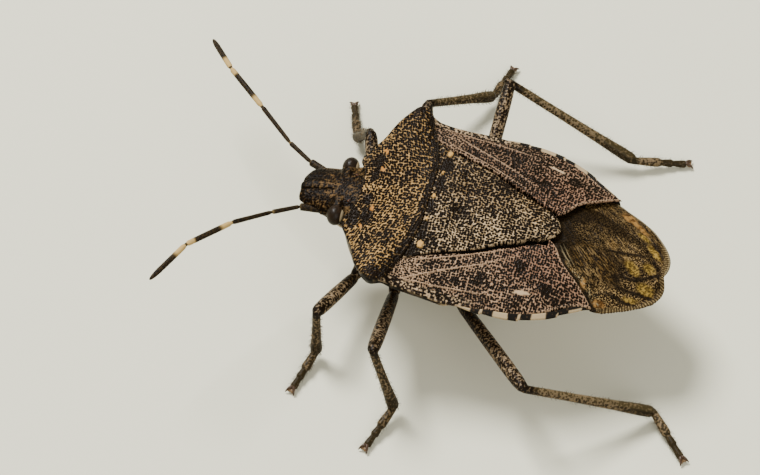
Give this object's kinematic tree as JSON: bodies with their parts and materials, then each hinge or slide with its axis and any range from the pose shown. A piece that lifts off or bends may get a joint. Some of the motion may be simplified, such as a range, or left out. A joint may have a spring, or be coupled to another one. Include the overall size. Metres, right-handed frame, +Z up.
{
  "type": "shield bug",
  "caption": "Life-size still model of a standing brown marmorated shield bug: head, beak, antennae, shoulder shield, scutellum, folded wings, banded abdomen and six legs.",
  "frame": {"origin": "on the floor under the centre of the whole model's box, legs and antennae included", "axes": "+X from head to tail along the body, +Y towards the bug's right side, +Z up"},
  "size_m": [0.0234, 0.0207, 0.006],
  "materials": {
    "dark_cuticle": "dark punctured cuticle of the head, semi-gloss",
    "eye": "dark red-brown compound eye, glossy",
    "belly": "pale speckled underside, with a black and cream banded rim",
    "antenna": "dark brown feelers with pale rings, finely haired",
    "marbled_cuticle": "tan and dark brown marbled, punctured shield, semi-gloss",
    "wing": "leathery fore wing, speckled brown with a purplish tint",
    "membrane": "dark brown wing membrane with fine streaks and olive windows, satin",
    "leg": "brown legs speckled with cream, finely haired, dark claws"
  },
  "bodies": {
    "root": {"head": "dark_cuticle", "eye_left": "eye", "eye_right": "eye", "rostrum": "belly", "antenna_left": "antenna", "antenna_right": "antenna", "pronotum": "marbled_cuticle", "scutellum": "marbled_cuticle", "corium_left": "wing", "corium_right": "wing", "membrane_left": "membrane", "membrane_right": "membrane", "thorax": "belly", "abdomen": "belly", "leg_front_left_femur": "leg", "leg_front_left_tibia": "leg", "leg_front_left_tarsus": "leg", "leg_middle_left_femur": "leg", "leg_middle_left_tibia": "leg", "leg_middle_left_tarsus": "leg", "leg_hind_left_femur": "leg", "leg_hind_left_tibia": "leg", "leg_hind_left_tarsus": "leg", "leg_front_right_femur": "leg", "leg_front_right_tibia": "leg", "leg_front_right_tarsus": "leg", "leg_middle_right_femur": "leg", "leg_middle_right_tibia": "leg", "leg_middle_right_tarsus": "leg", "leg_hind_right_femur": "leg", "leg_hind_right_tibia": "leg", "leg_hind_right_tarsus": "leg"}
  },
  "joints": []
}
